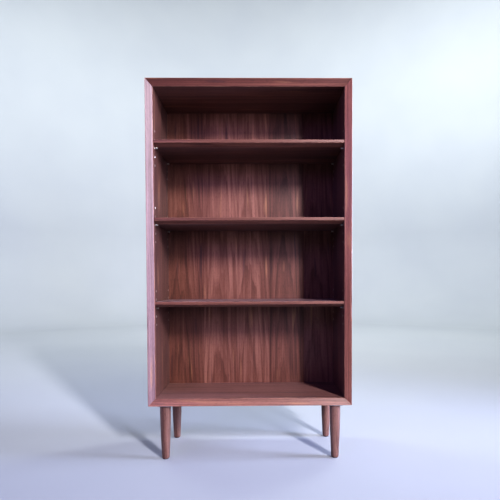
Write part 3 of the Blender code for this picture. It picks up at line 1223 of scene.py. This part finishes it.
@dataclass
class TurnedLeg:
    """A tapered leg turned from solid walnut, with a slight swell and eased edges."""

    place: str
    twist: float
    top: float = 0.041
    foot: float = 0.028
    swell: float = 0.0012
    easing: float = 0.0020
    bolt_hole: float = 0.0086
    bolt_depth: float = 0.036
    rings: int = 14

    def build(self, book: FinishBook) -> Piece:
        """Builds and dresses the leg.

        Args:
            book: The finishes.

        Returns:
            The leg.
        """
        node = f"leg_{self.place}"
        low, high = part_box(node)
        length = high.z - low.z
        bottom = length - self.bolt_depth
        profile = [(0.0, bottom), (self.bolt_hole / 2, bottom), (self.bolt_hole / 2, length)]
        profile += arc((self.top / 2 - self.easing, length - self.easing), self.easing, 90, 0)
        for ring in range(self.rings - 1, 0, -1):
            share = ring / self.rings
            radius = (self.foot + (self.top - self.foot) * share) / 2
            profile.append((radius + self.swell * math.sin(math.pi * share), share * length))
        profile += arc((self.foot / 2 - self.easing, self.easing), self.easing, 0, -90)
        profile.append((0.0, 0.0))
        walnut = book.walnut(
            "oiled turned walnut", Figure.STRAIGHT_SOLID, 7.0, middle="#745349", light="#97776C"
        )
        leg = new_piece(f"dressed_{node}", lathe(profile, 64), (walnut,))
        leg.location = ((low.x + high.x) / 2, (low.y + high.y) / 2, low.z)
        leg.rotation_euler = (0.0, 0.0, self.twist)
        return stand_in(leg, "case", "walnut_leg", node)


@dataclass
class CrossHeadScrew:
    """A countersunk wood screw with a cross recess in its head and a turned thread."""

    head: float = 0.0072
    head_height: float = 0.0018
    rim_width: float = 0.0001
    rim_height: float = 0.0003
    neck: float = 0.0004
    shank: float = 0.0036
    length: float = 0.016
    pitch: float = 0.0016
    root_share: float = 0.68
    recess: float = 0.0038
    recess_depth: float = 0.0011
    slot_share: float = 0.26
    turn_step: float = 0.9

    def mesh_object(self, book: FinishBook) -> Piece:
        """Builds the screw that the others copy.

        Args:
            book: The finishes.

        Returns:
            The screw, with its head at local Z 0 and its point up.
        """
        head_radius = self.head / 2
        shank_radius = self.shank / 2
        root = shank_radius * self.root_share
        profile = [(0.0, 0.0), (head_radius - self.rim_width, 0.0), (head_radius, self.rim_height)]
        profile.append((root, self.head_height + self.neck))
        height = self.head_height + self.pitch
        while height < self.length - 2 * self.pitch:
            profile += [(root, height), (shank_radius, height + self.pitch * 0.35)]
            height += self.pitch * 0.7
            profile.append((root, height))
            height += self.pitch * 0.3
        profile += [(root, self.length - 2 * self.pitch), (0.0, self.length)]
        screw = new_piece("screw_pattern", lathe(profile, 24), (book.zinc(),))
        slots = []
        for turn in (0.0, math.pi / 2):
            bm = bmesh.new()
            bmesh.ops.create_cube(bm, size=1.0)
            size = (self.recess, self.recess * self.slot_share, 2 * self.recess_depth)
            bmesh.ops.scale(bm, vec=size, verts=bm.verts)
            bmesh.ops.rotate(bm, cent=(0, 0, 0), matrix=Matrix.Rotation(turn, 3, "Z"), verts=bm.verts)
            slots.append(new_piece(f"recess_{len(slots)}", bm, ()))
        drill(screw, slots)
        return screw

    def build(self, book: FinishBook, nodes: Sequence[str]) -> None:
        """Puts a screw in the place of each named node, each turned as it happened to stop.

        Args:
            book: The finishes.
            nodes: The frame's screw nodes.
        """
        pattern = self.mesh_object(book)
        for index, node in enumerate(nodes):
            low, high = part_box(node)
            middle = (low + high) / 2
            screw = add_object(f"dressed_{node}", pattern.data)
            keep_flats(screw)
            spin = Matrix.Rotation(self.turn_step * index, 4, "Z")
            if node.startswith("back_screw"):
                place = Matrix.Translation((middle.x, high.y, middle.z))
                turn = Matrix.Rotation(math.pi / 2, 4, "X")
            else:
                place = Matrix.Translation((middle.x, middle.y, low.z))
                turn = Matrix.Identity(4)
            screw.matrix_world = place @ turn @ spin
            stand_in(screw, "case", "zinc_steel", node)
        bpy.data.objects.remove(pattern, do_unlink=True)


class PlainHardware:
    """Leg plates, hanger bolts and glides: shapes kept from the frame, with their own finishes."""

    def dress(self, book: FinishBook, nodes: dict[str, Piece]) -> int:
        """Gives each kept node its finish.

        Args:
            book: The finishes.
            nodes: The frame's nodes by name.

        Returns:
            How many nodes were dressed.
        """
        count = 0
        for name, node in nodes.items():
            if name.startswith(("leg_plate_", "hanger_bolt_")):
                finish = book.zinc()
            elif name.startswith("glide_"):
                finish = book.nylon()
            else:
                continue
            node.data.materials.clear()
            node.data.materials.append(finish)
            count += 1
        return count


# ----- Studio -----


@dataclass(frozen=True)
class Softbox:
    """A rectangular soft light, placed by its direction from the point that it faces."""

    name: str
    azimuth: float
    elevation: float
    distance: float
    size: Point2
    power: float
    colour: str
    spread: float = 180.0

    def place(self, target: Vector) -> Vector:
        """Works out where the light stands, with its azimuth counted from the front towards +X.

        Args:
            target: The point that it faces.

        Returns:
            The light's place.
        """
        azimuth = math.radians(self.azimuth)
        elevation = math.radians(self.elevation)
        across = math.sin(azimuth) * math.cos(elevation)
        forward = -math.cos(azimuth) * math.cos(elevation)
        return target + Vector((across, forward, math.sin(elevation))) * self.distance

    def build(self, at: Vector, target: Vector) -> Piece:
        """Makes the light.

        Args:
            at: The middle of the light.
            target: The point that it faces.

        Returns:
            The light object.
        """
        light = bpy.data.lights.new(self.name, "AREA")
        light.shape = "RECTANGLE"
        light.size, light.size_y = self.size
        light.energy = self.power
        light.color = linear(self.colour)[:3]
        light.spread = math.radians(self.spread)
        lamp = add_object(self.name, light)
        lamp.location = at
        lamp.rotation_euler = (target - at).to_track_quat("-Z", "Y").to_euler()
        return lamp


@dataclass
class Studio:
    """A pale paper sweep, windows from the front right and the side, weak fill and wall washes."""

    floor_radius: float = 5.2
    sweep_radius: float = 1.6
    wall_height: float = 8.5
    target: Point3 = (0.0, 0.0, 1.10)
    key: Softbox = Softbox("key_window", 32.5, 24.5, 5.5, (0.40, 1.15), 48.0, "#FAF5F8", 70.0)
    low_key: Softbox = Softbox("low_window", 34.0, 6.0, 5.0, (0.50, 1.7), 129.0, "#DCDEF6")
    side: Softbox = Softbox("side_window", 84.0, 2.0, 3.4, (0.9, 1.6), 54.0, "#D0DAFF", 70.0)
    fill: Softbox = Softbox("room_fill", -36.0, 14.0, 4.4, (2.5, 1.2), 44.0, "#B0A0FF")
    left_wash: float = 185.0
    right_wash: float = 285.0
    wash_size: Point2 = (2.4, 1.2)
    wash_colour: str = "#FBFFFC"
    wash_place: Point3 = (2.6, 1.6, 5.0)
    wash_target: Point3 = (1.2, 6.6, 2.6)
    world_colour: str = "#D8D2DA"
    world_strength: float = 0.08
    # The sweep's wall runs from this angle through this many degrees, behind the case.
    wall_start: float = 15.0
    wall_turn: float = -210.0

    def build(self) -> None:
        """Builds the sweep, the lights and the world."""
        self._sweep()
        target = Vector(self.target)
        for lamp in (self.key, self.low_key, self.side, self.fill):
            lamp.build(lamp.place(target), target)
        for name, side, power in (("left", -1.0, self.left_wash), ("right", 1.0, self.right_wash)):
            mirror = Vector((side, 1.0, 1.0))
            wash = Softbox(f"wall_wash_{name}", 0.0, 0.0, 0.0, self.wash_size, power, self.wash_colour)
            wash.build(mirror * Vector(self.wash_place), mirror * Vector(self.wash_target))
        self._world()

    def _sweep(self) -> None:
        """The floor all round, and behind it a curve up into the wall."""
        profile = arc((self.floor_radius, self.sweep_radius), self.sweep_radius, -90, 0, 12)
        profile.append((self.floor_radius + self.sweep_radius, self.wall_height))
        bm = bmesh.new()
        rim = [bm.verts.new((-radius, 0.0, height)) for radius, height in profile]
        edges = [bm.edges.new(pair) for pair in zip(rim, rim[1:])]
        turn = Matrix.Rotation(math.radians(self.wall_start), 3, "Z")
        bmesh.ops.rotate(bm, cent=(0, 0, 0), matrix=turn, verts=bm.verts)
        bmesh.ops.spin(
            bm,
            geom=rim + edges,
            cent=(0.0, 0.0, 0.0),
            axis=(0.0, 0.0, 1.0),
            angle=math.radians(self.wall_turn),
            steps=70,
        )
        bmesh.ops.create_circle(bm, cap_ends=True, segments=120, radius=self.floor_radius)
        bmesh.ops.remove_doubles(bm, verts=bm.verts, dist=1e-6)
        sweep = new_piece("studio_sweep", bm, (PaperSweepFinish().build(),))
        sweep.data.shade_smooth()

    def _world(self) -> None:
        """A plain, slightly cool and weak light from all round."""
        world = bpy.data.worlds.new("studio_world")
        bpy.context.scene.world = world
        world.use_nodes = True
        background = world.node_tree.nodes["Background"]
        background.inputs["Color"].default_value = linear(self.world_colour)
        background.inputs["Strength"].default_value = self.world_strength


@dataclass
class Viewpoint:
    """The camera: a standing-back, slightly low view of the open front."""

    place: Point3 = (0.0371, -1.6635, 0.6688)
    turn: float = -0.616
    tilt: float = -1.423
    roll: float = -0.212
    lens: float = 29.57
    sensor: float = 36.0
    shift: Point2 = (-0.0281, 0.0855)

    def build(self) -> None:
        """Makes the camera the scene's own."""
        camera = bpy.data.cameras.new("camera")
        camera.sensor_fit = "HORIZONTAL"
        camera.sensor_width = self.sensor
        camera.lens = self.lens
        camera.shift_x, camera.shift_y = self.shift
        rig = add_object("camera", camera)
        turn = Matrix.Rotation(math.radians(self.turn), 4, "Z")
        tilt = Matrix.Rotation(math.radians(90.0 + self.tilt), 4, "X")
        roll = Matrix.Rotation(math.radians(self.roll), 4, "Z")
        rig.matrix_world = Matrix.Translation(self.place) @ turn @ tilt @ roll
        bpy.context.scene.camera = rig


def corners(box: tuple[Vector, Vector]) -> list[list[float]]:
    """Turns a box's two corners into plain lists."""
    return [list(box[0]), list(box[1])]


def main() -> None:
    """Dresses the bookcase piece by piece and sets up the studio."""
    logging.basicConfig(level=logging.INFO, format="%(name)s: %(message)s")
    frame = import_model()
    view = bpy.context.scene.view_settings
    view.view_transform = "Standard"
    view.look = "High Contrast"
    book = FinishBook()
    grid = PinHoleGrid()
    Viewpoint().build()

    quiet = Figure.QUIET_VENEER
    boards = (
        # The left lip's pale lavender-grey tones are a painted reflection of the window on its sloping
        # front.
        CaseBoard("left_side", 0.0, quiet, 1.0, 17.0, "#957B7C", "#755A5D", 0.54),
        # The right lip is set paler than the default lip tones, as painted light.
        CaseBoard("right_side", math.pi, quiet, 2.0, 12.0, "#B07D6A", "#85564A"),
        # The top lip's darker tones are painted shade on its downward-facing slope.
        CaseBoard("top_panel", math.pi / 2, quiet, 4.0, 13.0, "#8C5C4C", "#623A30"),
        # The bottom lip's paler tones are painted light on its upward-facing slope.
        CaseBoard("bottom_panel", -math.pi / 2, quiet, 5.0, 14.0, "#AC7F70", "#84594C"),
    )
    for board in boards:
        LOG.info("case board %s", board.build(book, grid).name)
    LOG.info("back %s", BackPanel().build(book).name)
    for number in (1, 2, 3):
        shelf = AdjustableShelf(number, 5.0 + number)
        LOG.info("shelf %s", shelf.build(book).name)
        for row in ("front", "back"):
            for side in ("left", "right"):
                LOG.info("pin %s", ShelfPin(number, row, side).build(book).name)
    for side in ("left", "right"):
        LOG.info("%d sleeves in the %s side", len(PinSleeves(grid, side).build(book)), side)
    for turn, place in enumerate(("front_left", "front_right", "back_left", "back_right")):
        LOG.info("leg %s", TurnedLeg(place, 1.3 * turn).build(book).name)
    screws = sorted(n for n in frame["nodes"] if n.startswith(("plate_screw_", "back_screw_")))
    CrossHeadScrew().build(book, screws)
    LOG.info("%d screws", len(screws))
    LOG.info("%d kept hardware nodes", PlainHardware().dress(book, frame["nodes"]))
    Studio().build()


if __name__ == "__main__":
    main()
